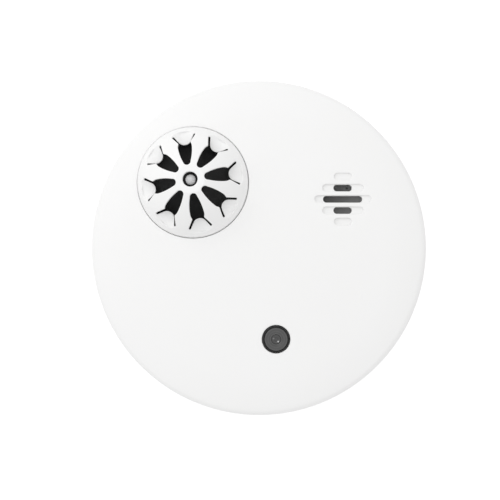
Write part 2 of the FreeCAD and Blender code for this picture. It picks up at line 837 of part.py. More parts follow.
def cell_tags():
    """Two nickel strips from the ends of the cell down to the board."""
    strip = 0.2
    tags = []
    for side, name in ((-1, "minus"), (1, "plus")):
        tag = new_body(f"tag_{name}", (cell_x, cell_y, 0), CELL_TURN)
        stand = cell_length / 2 + strip / 2
        pad(tag, "upright", [box_outline(side * stand, as_size(0), strip, 4)],
            board_top, floor_top + cell_radius + 2)
        pad(tag, "foot", [box_outline(side * (stand + 1.5), as_size(0), 3.2, 4)],
            board_top, board_top + strip)
        tags.append(tag)
    return node(fuse("cell_tags", *tags), "cell_tags")


def microcontroller():
    return node(block("microcontroller", 7, 7, 1, (as_size(9), as_size(-9), board_top)), "microcontroller")


def boost_coil():
    coil_radius = 4
    body = turned("boost_coil", [
        (0, board_top), (coil_radius, board_top), (coil_radius, board_top + 1),
        (coil_radius - 0.8, board_top + 1), (coil_radius - 0.8, board_top + 5),
        (coil_radius, board_top + 5), (coil_radius, board_top + 6), (0, board_top + 6)], (29, -13, 0))
    return node(body, "boost_coil")


def electrolytic_capacitor():
    can_radius = 3.2
    body = turned("electrolytic_capacitor", [
        (0, board_top), (can_radius, board_top), (can_radius, board_top + 1.2),
        (can_radius - 0.3, board_top + 1.6), (can_radius, board_top + 2), (can_radius, board_top + 7.6),
        (can_radius - 0.4, board_top + 8), (0, board_top + 8)], (18, -27, 0))
    return node(body, "electrolytic_capacitor")


# ---------------------------------------------------------------- sounder

SOUNDER = (grille_x, grille_y, 0)
disc_seat = board_top + 6


def sounder_housing():
    bore = sounder_radius - sounder_wall
    body = turned("sounder_housing", [
        (0, board_top), (sounder_radius, board_top), (sounder_radius, housing_top), (3.2, housing_top),
        (3.2, housing_top - 1.2), (bore, housing_top - 1.2), (bore, disc_seat), (bore - 1.4, disc_seat),
        (bore - 1.4, disc_seat - 1), (bore, disc_seat - 1), (bore, board_top + 1.2), (0, board_top + 1.2)])
    return node(place(body, SOUNDER), "sounder_housing")


def sounder_disc():
    brass = cylinder("brass_disc", disc_radius, disc_thick, (grille_x, grille_y, disc_seat))
    ceramic = cylinder("ceramic_disc", disc_radius * 0.7, 0.2, (grille_x, grille_y, disc_seat + disc_thick))
    return node(fuse("sounder_disc", brass, ceramic), "sounder_disc")


def sounder_gasket():
    ring = tube("sounder_gasket", sounder_radius - 0.2, sounder_radius - 2.4, gasket_thick,
                (grille_x, grille_y, housing_top))
    return node(ring, "sounder_gasket")


def sounder_screen():
    screen = cylinder("sounder_screen", sounder_radius - 0.2, screen_thick, (grille_x, grille_y, gasket_top))
    return node(screen, "sounder_screen")


# ---------------------------------------------------------------- test button and switches

BUTTON = (button_x, button_y, 0)
button_top = face_top - 0.25 + button_proud
plunger_top = board_top + switch_height + plunger_proud


def test_button():
    """Smoked cap with a bevel, a shallow dish and a sleeve for the light guide."""
    bore = lens_radius + 0.1
    body = turned("test_button", [
        (bore, roof_inside - 4), (lens_radius + 1, roof_inside - 4), (lens_radius + 1, roof_inside - 1.6),
        (button_flange, roof_inside - 1.6), (button_flange, roof_inside - 0.1),
        (button_radius, roof_inside - 0.1), (button_radius, button_top - 0.7),
        (button_radius - 0.65, button_top), (button_radius - 0.95, button_top - 0.25),
        Bow(20, -1), (lens_radius + 0.75, button_top - 0.45), (lens_radius + 0.55, button_top - 0.3),
        (lens_radius + 0.3, button_top - 0.3), (bore, button_top - 0.45)])
    pad(body, "finger", [(-finger_offset, as_size(0), finger_radius)],
        plunger_top + 0.03, roof_inside - 1.6 + blend)
    return node(place(body, BUTTON), "test_button")


def light_guide():
    lens_rise = 0.4
    body = turned("light_guide", [
        (0, board_top + 2), (lens_radius - 0.2, board_top + 2), (lens_radius, board_top + 3),
        (lens_radius, roof_inside - 2.4), (lens_radius + 0.05, roof_inside - 2.2),
        (lens_radius + 0.05, roof_inside - 1.8), (lens_radius, roof_inside - 1.6),
        (lens_radius, button_top - 0.2 - lens_rise),
        Bow((lens_radius * lens_radius + lens_rise * lens_rise) / (2 * lens_rise), -1), (0, button_top - 0.2)])
    return node(place(body, BUTTON), "light_guide")


def indicator_led():
    return node(block("indicator_led", 2, 1.25, 0.8, (button_x, button_y, board_top)), "indicator_led")


def tact_switch():
    at = (button_x - finger_offset, button_y, board_top)
    case = block("tact_case", switch_side, switch_side, switch_height, at)
    bore = cylinder("tact_bore", plunger_radius + fit_gap, switch_height, (at[0], at[1], board_top + 0.9))
    return node(cut("tact_switch", case, bore), "tact_switch")


def switch_plunger():
    foot = board_top + switch_height - 1.4
    plunger = cylinder("switch_plunger", plunger_radius, plunger_top - foot,
                       (button_x - finger_offset, button_y, foot))
    return node(plunger, "switch_plunger")


tamper_seat = board_bottom - 3.4


def tamper_switch():
    x, y = polar(tamper_place, tamper_bearing)
    case = block("tamper_case", 5.6, 5.6, board_bottom - tamper_seat, (x, y, tamper_seat))
    bore = cylinder("tamper_bore", plunger_radius + fit_gap, 3.6, (x, y, tamper_seat - 1))
    return node(cut("tamper_switch", case, bore), "tamper_switch")


def tamper_plunger():
    x, y = polar(tamper_place, tamper_bearing)
    foot = plate_thick + 0.05
    rod = cylinder("tamper_rod", plunger_radius, tamper_seat + 1.2 - foot - 1, (x, y, foot + 1))
    tip = doc.addObject("Part::Cone", "tamper_tip")
    bind(tip, "Radius1", plunger_radius - 0.6)
    bind(tip, "Radius2", plunger_radius)
    bind(tip, "Height", 1)
    place(tip, (x, y, foot))
    return node(fuse("tamper_plunger", rod, tip), "tamper_plunger")


# ---------------------------------------------------------------- the whole alarm

def build():
    mounting_bracket()
    back_case()
    case_screws()
    front_cover()
    sensor_cage()
    chamber_base()
    diode("infrared_led", led_bearing)
    diode("photodiode", diode_bearing)
    labyrinth()
    insect_screen()
    chamber_cover()
    thermistor_holder()
    thermistor()
    main_board()
    board_screws()
    lithium_cell()
    cell_tags()
    microcontroller()
    boost_coil()
    electrolytic_capacitor()
    sounder_housing()
    sounder_disc()
    sounder_gasket()
    sounder_screen()
    test_button()
    light_guide()
    indicator_led()
    tact_switch()
    switch_plunger()
    tamper_switch()
    tamper_plunger()
    doc.recompute()


def check():
    """Stops before anything is written if any object failed or any sub-part is not a sound solid."""
    failed = [thing.Name for thing in doc.Objects if {"Invalid", "Error"} & set(thing.State)]
    if failed:
        raise SystemExit("these objects failed: " + ", ".join(failed))
    for part in parts:
        if part.Shape.isNull() or not part.Shape.isValid() or not part.Shape.Solids:
            raise SystemExit(part.Label + " is not a sound solid")


def export():
    os.makedirs("parts", exist_ok=True)
    for part in parts:
        part.Shape.exportStep(f"parts/{part.Label}.step")
        print(part.Label, len(part.Shape.Solids), round(part.Shape.Volume, 1))


build()
check()
export()
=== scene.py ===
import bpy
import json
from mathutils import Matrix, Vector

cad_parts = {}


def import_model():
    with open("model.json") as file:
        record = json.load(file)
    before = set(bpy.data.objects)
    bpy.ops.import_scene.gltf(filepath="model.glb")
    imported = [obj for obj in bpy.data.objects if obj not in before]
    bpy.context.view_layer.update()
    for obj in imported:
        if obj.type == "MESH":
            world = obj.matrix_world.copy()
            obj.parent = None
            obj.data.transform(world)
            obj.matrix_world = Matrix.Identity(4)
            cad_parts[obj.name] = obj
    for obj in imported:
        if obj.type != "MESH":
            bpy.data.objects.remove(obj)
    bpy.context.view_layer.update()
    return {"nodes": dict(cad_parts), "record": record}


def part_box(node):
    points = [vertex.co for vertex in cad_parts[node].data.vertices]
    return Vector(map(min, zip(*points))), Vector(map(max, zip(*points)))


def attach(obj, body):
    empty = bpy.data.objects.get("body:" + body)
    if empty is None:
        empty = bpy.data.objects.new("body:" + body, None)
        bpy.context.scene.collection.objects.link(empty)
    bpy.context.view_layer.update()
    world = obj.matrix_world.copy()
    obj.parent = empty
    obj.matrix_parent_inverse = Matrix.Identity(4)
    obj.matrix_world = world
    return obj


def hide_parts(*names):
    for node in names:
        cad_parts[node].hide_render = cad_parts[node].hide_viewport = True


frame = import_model()

"""Looks of the round smoke and heat alarm: its mouldings, smoked button, dark chamber and studio.

Sizes are written in millimetres and become metres where a mesh is made.
"""
import json
import math

import bmesh
import bpy
import numpy as np
from mathutils import Matrix, Vector, geometry, kdtree

MM = 0.001
BUTTON = (5.84, -31.20)
CAGE = (-22.61, 22.42)
GRILLE = (28.69, 16.70)
# painted sheen: the chamber's black is painted greyer on the two sides this way points to
PAINTED_SHEEN_WAY = math.radians(-12.5)           # way to the greyer sides of the smoke chamber
# the port's shade is painted on the cloth as a dark dot with a dimmer ring
PORT = (30.3, 20.5, 0.34)               # small round port under the sounder slots: place and radius
# outside this radius the button's moat is painted near black as shade
DISC_RADIUS = 3.95                      # raised middle of the button
RING_WAVE = 7.4                         # how close its turning rings are, in radians per millimetre
# painted highlights on the clear rod, bright spots added to its colour: place from its axis, radius and
# strength
PAINTED_HIGHLIGHTS = ((0.70, -0.77, 0.34, 0.75), (-0.85, 0.25, 0.42, 0.16))
scene = bpy.context.scene
detail = 1.0


# ---------------------------------------------------------------- finishes: shader maths in plain words

class Field:
    """A number, colour or vector that changes over a surface, with Python's own operators."""

    def __init__(self, finish, socket):
        self.finish = finish
        self.socket = socket

    def math(self, operation, first, second):
        return self.finish.node("ShaderNodeMath", {"operation": operation}, {0: first, 1: second})

    def __add__(self, other):
        return self.math("ADD", self, other)

    def __radd__(self, other):
        return self.math("ADD", other, self)

    def __sub__(self, other):
        return self.math("SUBTRACT", self, other)

    def __rsub__(self, other):
        return self.math("SUBTRACT", other, self)

    def __mul__(self, other):
        return self.math("MULTIPLY", self, other)

    def __rmul__(self, other):
        return self.math("MULTIPLY", other, self)

    def __truediv__(self, other):
        return self.math("DIVIDE", self, other)

    def __gt__(self, other):
        return self.math("GREATER_THAN", self, other)

    def __lt__(self, other):
        return self.math("LESS_THAN", self, other)

    def power(self, exponent):
        return self.math("POWER", self, exponent)

    def sine(self):
        return self.math("SINE", self, 0)

    def clamped(self):
        return self.finish.node("ShaderNodeClamp", {}, {"Value": self})

    def part(self, letter):
        """One axis of a vector."""
        return self.finish.node("ShaderNodeSeparateXYZ", {}, {0: self}, letter)


class Finish:
    """One material: a Principled shader whose sockets take numbers, colours or Fields."""

    def __init__(self, name, **sockets):
        self.material = bpy.data.materials.new(name)
        self.material.use_nodes = True
        self.tree = self.material.node_tree
        self.shader = self.tree.nodes["Principled BSDF"]
        self.set(**sockets)

    def node(self, kind, settings, inputs, output=0):
        node = self.tree.nodes.new(kind)
        for name, value in settings.items():
            if name == "stops":
                self.set_stops(node.color_ramp, value)
            else:
                setattr(node, name, value)
        for name, value in inputs.items():
            self.feed(node.inputs[name], value)
        return Field(self, node.outputs[output])

    @staticmethod
    def set_stops(ramp, stops):
        for i, (position, colour) in enumerate(stops):
            stop = ramp.elements[i] if i < 2 else ramp.elements.new(position)
            stop.position = position
            stop.color = (*colour, 1)

    def feed(self, socket, value):
        if isinstance(value, Field):
            self.tree.links.new(value.socket, socket)
        elif isinstance(value, tuple) and len(value) == 3 and len(socket.default_value) == 4:
            socket.default_value = (*value, 1)
        else:
            socket.default_value = value

    def set(self, **sockets):
        for name, value in sockets.items():
            self.feed(self.shader.inputs[name.replace("_", " ")], value)
        return self

    def place(self):
        """Where a point lies on the object, in millimetres."""
        spot = self.node("ShaderNodeTexCoord", {}, {}, "Object")
        return self.node("ShaderNodeVectorMath", {"operation": "SCALE"}, {0: spot, "Scale": 1 / MM})

    def noise(self, size, levels=2, rough=0.5):
        """Cloudy noise from 0 to 1 whose blotches are about this many millimetres across."""
        return self.node("ShaderNodeTexNoise", {"noise_dimensions": "3D"},
                         {"Vector": self.place(), "Scale": 1 / size, "Detail": levels,
                          "Roughness": rough}, "Fac")

    def cells(self, size):
        """Distance to the middle of the nearest grain, for spark-eroded and woven surfaces."""
        return self.node("ShaderNodeTexVoronoi", {"feature": "F1"},
                         {"Vector": self.place(), "Scale": 1 / size}, "Distance")

    def reach(self, x, y):
        """Level distance from an upright axis, in millimetres."""
        spot = self.place()
        across, along = spot.part("X") - x, spot.part("Y") - y
        return (across * across + along * along).power(0.5)

    def between(self, low, high, factor):
        """A colour that runs from one to another."""
        return self.node("ShaderNodeMix", {"data_type": "RGBA"},
                         {"Factor": factor, 6: (*low, 1), 7: (*high, 1)}, 2)

    def seen(self):
        """1 for what the eye, a reflection or clear plastic sees, 0 for the light that is given off."""
        rays = [self.node("ShaderNodeLightPath", {}, {}, f"Is {kind} Ray")
                for kind in ("Camera", "Glossy", "Transmission")]
        return (rays[0] + rays[1] + rays[2]).clamped()

    def bump(self, height, depth):
        """Relief of a given depth in millimetres."""
        self.set(Normal=self.node("ShaderNodeBump", {}, {"Height": height, "Distance": depth * MM,
                                                         "Strength": 1.0}, "Normal"))
        return self


def white_moulding(name, tone=0.88, grain=0.18, depth=0.006):
    """Satin white plastic from a finely spark-eroded mould."""
    finish = Finish(name, IOR=1.46)
    cloud = finish.noise(22, 3)
    grains = finish.cells(grain)
    warm = (tone, tone * 0.998, tone * 0.992)
    cool = (tone * 1.012, tone * 1.012, tone * 1.012)
    finish.set(Base_Color=finish.between(warm, cool, cloud))
    finish.set(Roughness=0.36 + 0.08 * cloud + 0.06 * grains)
    return finish.bump(grains + 0.5 * finish.noise(0.6, 2), depth)


def smoked_plastic(name, tone=0.06, rough=0.13, with_painted_highlights=False):
    """Polished smoked plastic: near black outside the disc as painted shade of the moat, greyer on the disc,
    with faint turning rings and, on the clear rod, painted highlights.
    """
    finish = Finish(name, IOR=1.5, Coat_Roughness=0.04)
    cloud = finish.noise(1.8, 3)
    streaks = finish.noise(0.12, 2)
    reach = finish.reach(*BUTTON)
    rings = 0.5 + 0.5 * (reach * RING_WAVE).sine()
    # painted shade: outside the disc the colour stays near black, as shade in the moat round it
    disc = (DISC_RADIUS > reach) * (0.55 + 0.3 * cloud + 0.3 * rings)
    shade = tone * 0.3 + disc * tone
    # painted highlights: bright spots added to the clear rod's colour
    for x, y, radius, strength in PAINTED_HIGHLIGHTS if with_painted_highlights else ():
        shade = shade + (1 - finish.reach(BUTTON[0] + x, BUTTON[1] + y) / radius).clamped() * strength
    finish.set(Base_Color=finish.between((0, 0, 0), (1, 1, 1), shade))
    finish.set(Roughness=rough + 0.10 * cloud * streaks)
    return finish.bump(streaks + 3 * rings, 0.0015)


def black_moulding(name, tone=0.0025, rough=0.7):
    """Light-absorbing black plastic of the smoke chamber, with a painted sheen that makes it a little greyer
    on two opposite sides.
    """
    finish = Finish(name, IOR=1.45)
    grains = finish.cells(0.25)
    spot = finish.place()
    across = (spot.part("X") - CAGE[0]) * math.cos(PAINTED_SHEEN_WAY) + (spot.part("Y") - CAGE[1]) * math.sin(PAINTED_SHEEN_WAY)
    # painted sheen: greyer towards the two sides along the sheen's way
    side = ((across * across) / (finish.reach(*CAGE).power(2) + 1) - 0.35) * 4
    finish.set(Base_Color=finish.between((tone,) * 3, (0.017,) * 3, side.clamped() * (0.7 + 0.3 * grains)))
    finish.set(Roughness=rough + 0.15 * finish.noise(1.5, 3))
    return finish.bump(grains, 0.02)


def woven_screen(name, tone=0.1, pitch=0.42):
    """Dust cloth: over-and-under threads, painted lighter towards the lower right as light across the slots,
    with the sounder's port painted through it as a dark dot of shade.
    """
    finish = Finish(name, IOR=1.4)
    spot = finish.place()
    turn = 2 * math.pi / pitch
    weave = (spot.part("X") * turn).sine() * (spot.part("Y") * turn).sine()
    threads = 0.5 + 0.5 * weave
    # painted light: the cloth is lighter towards the lower right, as light falls across the slots
    painted_light_to_lower_right = ((spot.part("X") - GRILLE[0]) / 14 + 0.5 - (spot.part("Y") - GRILLE[1]) / 18).clamped()
    # painted shade: a dark dot with a dimmer ring where the port's hole lies behind the cloth
    reach = finish.reach(PORT[0], PORT[1])
    port = (reach < PORT[2] * 2) * (0.35 + 0.5 * (reach > PORT[2])) + (reach > PORT[2] * 2)
    shade = tone * (0.55 + 0.3 * threads + 1.1 * painted_light_to_lower_right) * port
    finish.set(Base_Color=finish.between((0, 0, 0), (1, 1, 1), shade))
    finish.set(Roughness=0.75 + 0.15 * finish.noise(0.5))
    return finish.bump(threads, 0.08)


def resin_bead(name):
    """Grey dipped resin with small pits."""
    finish = Finish(name, IOR=1.5)
    cloud = finish.noise(0.5, 4, 0.65)
    finish.set(Base_Color=finish.between((0.50, 0.50, 0.51), (0.72, 0.72, 0.72), cloud))
    finish.set(Roughness=0.32 + 0.25 * cloud)
    return finish.bump(cloud, 0.05)


def plated_metal(name, colour, rough=0.3):
    """Plated metal with turning marks and dull patches."""
    finish = Finish(name, Metallic=1.0)
    cloud = finish.noise(1.4, 4, 0.6)
    dark = tuple(c * 0.78 for c in colour)
    finish.set(Base_Color=finish.between(dark, colour, cloud))
    finish.set(Roughness=rough + 0.2 * cloud)
    return finish.bump(finish.noise(0.2, 2), 0.004)


def solder_mask(name):
    """Green board lacquer with fine weave under it."""
    finish = Finish(name, IOR=1.5)
    weave = finish.cells(0.7)
    finish.set(Base_Color=finish.between((0.012, 0.11, 0.05), (0.02, 0.17, 0.075), weave))
    finish.set(Roughness=0.25 + 0.15 * finish.noise(2.0))
    return finish.bump(weave, 0.01)


def plain_moulding(name, colour, rough=0.45, grain=0.4):
    """Any other moulded, sleeved or rubber part."""
    finish = Finish(name, IOR=1.46)
    cloud = finish.noise(2.5, 3)
    dark = tuple(c * 0.8 for c in colour)
    finish.set(Base_Color=finish.between(dark, colour, cloud))
    finish.set(Roughness=rough + 0.12 * cloud)
    return finish.bump(finish.cells(grain), 0.01)


finishes = {
    "white_moulding": white_moulding("white_moulding"),
    "white_bracket": white_moulding("white_bracket", 0.82, 0.3, 0.01),
    "smoked_button": smoked_plastic("smoked_button"),
    # the clear rod's finish carries the painted highlights
    "smoked_clear": smoked_plastic("smoked_clear", 0.045, 0.06, True),
    "black_moulding": black_moulding("black_moulding"),
    "grey_screen": woven_screen("grey_screen"),
    "screen_steel": plated_metal("screen_steel", (0.30, 0.30, 0.31), 0.4),
    "grey_bead": resin_bead("grey_bead"),
    "screw_steel": plated_metal("screw_steel", (0.66, 0.66, 0.68)),
    "tag_nickel": plated_metal("tag_nickel", (0.72, 0.70, 0.66)),
    "board_green": solder_mask("board_green"),
    "cell_sleeve": plain_moulding("cell_sleeve", (0.06, 0.12, 0.28), 0.3, 1.5),
    "chip_black": plain_moulding("chip_black", (0.03, 0.03, 0.032), 0.5, 0.3),
    "disc_brass": plated_metal("disc_brass", (0.70, 0.52, 0.22)),
    "gasket_rubber": plain_moulding("gasket_rubber", (0.04, 0.04, 0.042), 0.75, 0.2),
}


def dress_frame():
    """Gives every solid of the frame its finish."""
    slots = {row["node"]: row["material_slot"] for row in frame["record"]["subparts"]}
    for node, solid in frame["nodes"].items():
        for slot in solid.material_slots:
            slot.material = finishes[slots[node]].material


# ---------------------------------------------------------------- mesh tools

SHARP_ANGLE = math.radians(35)          # edges that turn more than this are shaded as edges
NET_INSET, NET_ROW, NET_GAP = 0.4, 0.866, 0.55      # an even net's first row, row pitch and gap to a border


class Shell:
    """Collects rings of points and the faces between them, and makes one closed piece."""

    def __init__(self):
        self.points = []
        self.faces = []

    def ring(self, points):
        """Adds a ring of points and gives their numbers."""
        start = len(self.points)
        self.points.extend(points)
        return list(range(start, len(self.points)))

    def bridge(self, first, second):
        """A band of faces between two rings with as many points."""
        count = len(first)
        for i in range(count):
            after = (i + 1) % count
            self.faces.append((first[i], first[after], second[after], second[i]))

    def chain(self, rings):
        for first, second in zip(rings, rings[1:]):
            self.bridge(first, second)

    def make(self, name, finish):
        mesh = bpy.data.meshes.new(name)
        mesh.from_pydata([Vector(p) * MM for p in self.points], [], self.faces)
        build = bmesh.new()
        build.from_mesh(mesh)
        bmesh.ops.remove_doubles(build, verts=build.verts, dist=1e-7)
        bmesh.ops.recalc_face_normals(build, faces=build.faces)
        build.to_mesh(mesh)
        build.free()
        mesh.materials.append(finishes[finish].material)
        piece = bpy.data.objects.new(name, mesh)
        scene.collection.objects.link(piece)
        mesh.shade_smooth()
        mesh.set_sharp_from_angle(angle=SHARP_ANGLE)
        return piece


def circle(x, y, radius, count):
    """Outline of a round hole: a function from an offset to its points."""
    def points(offset):
        turns = (2 * math.pi * i / count for i in range(count))
        return [(x + (radius + offset) * math.cos(t), y + (radius + offset) * math.sin(t)) for t in turns]
    return points


def stadium(x, y, length, height, count):
    """Outline of a slot with round ends along X, as a function from an offset to its points."""
    reach = (length - height) / 2
    straight = count // 8
    round_steps = count // 2 - straight

    def points(offset):
        radius = height / 2 + offset
        found = []
        for side, first in ((1, -math.pi / 2), (-1, math.pi / 2)):
            for i in range(round_steps):
                t = first + math.pi * i / (round_steps - 1)
                found.append((x + side * reach + radius * math.cos(t), y + radius * math.sin(t)))
            for i in range(1, straight + 1):
                along = side * reach * (1 - 2 * i / (straight + 1))
                found.append((x + along, y + side * radius))
        return found
    return points


def inside(points, loop):
    """Which of many points lie inside a closed outline."""
    x, y = points[:, 0], points[:, 1]
    hit = np.zeros(len(points), bool)
    after = np.roll(loop, -1, axis=0)
    for (ax, ay), (bx, by) in zip(loop, after):
        if ay != by:
            cross = ((ay > y) != (by > y)) & (x < ax + (y - ay) * (bx - ax) / (by - ay))
            hit ^= cross
    return hit


def fill_between(shell, outer, holes, height, spacing):
    """Fills the region inside one ring and outside others with an even net of points on a surface."""
    rings = [outer] + holes
    loops = [np.array([shell.points[i][:2] for i in ring]) for ring in rings]
    border = np.vstack(loops)
    owner = [i for ring in rings for i in ring]
    edges = []
    start = 0
    for ring in rings:
        edges += [(start + i, start + (i + 1) % len(ring)) for i in range(len(ring))]
        start += len(ring)

    def within(points):
        hit = inside(points, loops[0])
        for loop in loops[1:]:
            hit &= ~inside(points, loop)
        return hit

    low = loops[0].min(axis=0)
    high = loops[0].max(axis=0)
    rows = np.arange(low[1] + spacing * NET_INSET, high[1], spacing * NET_ROW)
    across = np.arange(low[0], high[0], spacing)
    net = np.vstack([np.stack([across + spacing * 0.5 * (k % 2), np.full(len(across), y)], axis=1)
                     for k, y in enumerate(rows)])
    net = net[within(net)]
    near = kdtree.KDTree(len(border))
    for i, spot in enumerate(border):
        near.insert((*spot, 0), i)
    near.balance()
    net = [spot for spot in net if near.find((*spot, 0))[2] > spacing * NET_GAP]
    flat = [Vector(spot) for spot in border] + [Vector(spot) for spot in net]
    spots, _, faces, origins, _, _ = geometry.delaunay_2d_cdt(flat, edges, [], 0, 1e-7)
    index = []
    for spot, origin in zip(spots, origins):
        known = next((owner[o] for o in origin if o < len(owner)), None)
        if known is None:
            shell.points.append((spot.x, spot.y, height(spot.x, spot.y)))
            known = len(shell.points) - 1
        index.append(known)
    middles = np.array([np.mean([spots[i] for i in face], axis=0) for face in faces])
    for face, keep in zip(faces, within(middles)):
        if keep:
            shell.faces.append(tuple(index[i] for i in face))


def arc_points(start, end, radius, steps, side=1):
    """Points after start up to end along an arc in a section, bulging left of its chord for side 1."""
    a, b = Vector(start), Vector(end)
    chord = b - a
    left = Vector((-chord.y, chord.x)).normalized() * side
    middle = (a + b) / 2 - left * math.sqrt(max(radius ** 2 - (chord.length / 2) ** 2, 0))
    half = math.asin(min(1, chord.length / 2 / radius))
    spoke = a - middle
    points = []
    for i in range(1, steps + 1):
        turn = -side * 2 * half * i / steps
        points.append(tuple(middle + Matrix.Rotation(turn, 2) @ spoke))
    return points


def rounded(corners, steps=5):
    """A section's outline with each corner rounded by its third value."""
    outline = []
    count = len(corners)
    for i, corner in enumerate(corners):
        here = Vector(corner[:2])
        radius = corner[2] if len(corner) > 2 else 0
        if not radius:
            outline.append(tuple(here))
            continue
        before = (Vector(corners[i - 1][:2]) - here)
        after = (Vector(corners[(i + 1) % count][:2]) - here)
        angle = before.angle(after)
        back = min(radius / math.tan(angle / 2), before.length * 0.5, after.length * 0.5)
        first = here + before.normalized() * back
        last = here + after.normalized() * back
        for k in range(steps + 1):
            t = k / steps
            outline.append(tuple((1 - t) ** 2 * first + 2 * t * (1 - t) * here + t * t * last))
    return outline


def lathe(name, outline, finish, centre, steps):
    """Turns a closed section of (radius, height) points about an upright axis."""
    shell = Shell()
    rings = []
    for radius, height in outline:
        if radius < 1e-6:
            rings.append([len(shell.points)] * steps)
            shell.points.append((centre[0], centre[1], height))
            continue
        rings.append(shell.ring([
            (centre[0] + radius * math.cos(2 * math.pi * i / steps),
             centre[1] + radius * math.sin(2 * math.pi * i / steps), height) for i in range(steps)]))
    for first, second in zip(rings, rings[1:] + rings[:1]):
        for i in range(steps):
            after = (i + 1) % steps
            corners = (first[i], first[after], second[after], second[i])
            face = tuple(dict.fromkeys(corners))
            if len(face) > 2:
                shell.faces.append(face)
    return shell.make(name, finish)


# ---------------------------------------------------------------- sizes of the shown mouldings

FACE_TOP = 34.0
FACE_RADIUS, FACE_FALL = 44.0, 0.6
EDGE_RADIUS, EDGE_TOP = 55.6, 32.0
COVER_RADIUS, EDGE_LOW, EDGE_ROUND = 58.0, 29.17, 3.0
SKIRT_LOW, SKIRT_RADIUS = 16.3, 57.5
ROOF, UNDERSIDE_RADIUS = 31.2, 51.8
WALL = 2.0

CAGE_TURN = math.radians(10.45)
CAGE_RADIUS, CAGE_FOOT, CAGE_TOP = 19.0, 33.4, 46.8
SHOULDER_RADIUS, SHOULDER_TOP = 18.5, 34.3
DOME, CAGE_WALL = 32.0, 1.5
HUB_RADIUS, HUB_HOLE = 4.7, 2.47
WINDOWS = 8
WINDOW_END, BELLY, NECK, SLOT_TIP = (5.95, 1.24), (10.9, 2.34), (12.7, 2.0), (15.45, 4.02)
TONGUE_TIP, TONGUE_SHOULDER, TONGUE_ROOT = 12.55, (13.35, 1.84), (15.5, 3.22)
CHORD, CHORD_DROP, SCOOP_RADIUS = 17.6, 0.35, 6.5
TONGUE_SLOPE = math.tan(math.radians(15))
TONGUE_WALL, TONGUE_STEP, TONGUE_FADE = 1.2, 0.3, 0.9
WINDOW_STEP, WINDOW_ROUND, WINDOW_DRAFT = 0.16, 0.2, 0.05
HUB_ROUND, SHOULDER_ROUND, FOOT_STEP = 0.3, 1.6, 0.36
FLANGE, FLANGE_TOP, FLANGE_FOOT = 1.5, 29.7, 28.3   # holds the cage under the cover

# rows of the sounder grille: place, width of the recess and of the slot in it
ROWS = ((2, 6.1, None), (1, 14.1, 6.35), (0, 19.5, 13.5), (-1, 14.1, 6.35), (-2, 6.1, None))
ROW_PITCH, ROW_HEIGHT = 3.85, 2.6
RECESS_FLOOR, RECESS_DRAFT, RECESS_ROUND = 32.8, 0.04, 0.16
SLOT_HEIGHT, SLOT_ROUND = 2.3, 0.07
SLOT_POINTS = 64
SEAM = 0.14                             # gap between the cover and the cage
CAGE_HOLE_ROUND, BUTTON_HOLE_ROUND = 0.3, 0.35
SKIRT_BULGE = (57.78, 23.0)             # the skirt's draft changes here
FACE_NET, FLOOR_NET, ROOF_NET = 1.5, 0.8, 4         # how fine the flat parts of the cover are
CAGE_NET, CAGE_UNDER_NET = 0.32, 0.6

BUTTON_RADIUS, BUTTON_HOLE, BUTTON_TOP = 4.55, 4.85, 33.95


# ---------------------------------------------------------------- front cover

face_bow = FACE_RADIUS ** 2 / (2 * FACE_FALL) + FACE_FALL / 2
edge_arc = [(FACE_RADIUS, FACE_TOP - FACE_FALL)] + arc_points(
    (FACE_RADIUS, FACE_TOP - FACE_FALL), (EDGE_RADIUS, EDGE_TOP), 70, 24)


def face_height(x, y):
    """Height of the cover's face: a shallow bow, then a steeper one towards the edge."""
    radius = math.hypot(x, y)
    if radius <= FACE_RADIUS:
        return FACE_TOP - face_bow + math.sqrt(face_bow ** 2 - radius ** 2)
    radii = [r for r, _ in edge_arc]
    return float(np.interp(radius, radii, [z for _, z in edge_arc]))


def fillet(shell, outline, height, radius, steps=4):
    """Rings that round the edge of a hole, from its face at an offset down to its wall."""
    rings = []
    for i in range(steps + 1):
        turn = math.pi / 2 * i / steps
        offset = radius * (1 - math.sin(turn))
        drop = radius * (1 - math.cos(turn))
        rings.append(shell.ring([(x, y, height(x, y) - drop) for x, y in outline(offset)]))
    shell.chain(rings)
    return rings[0], rings[-1]


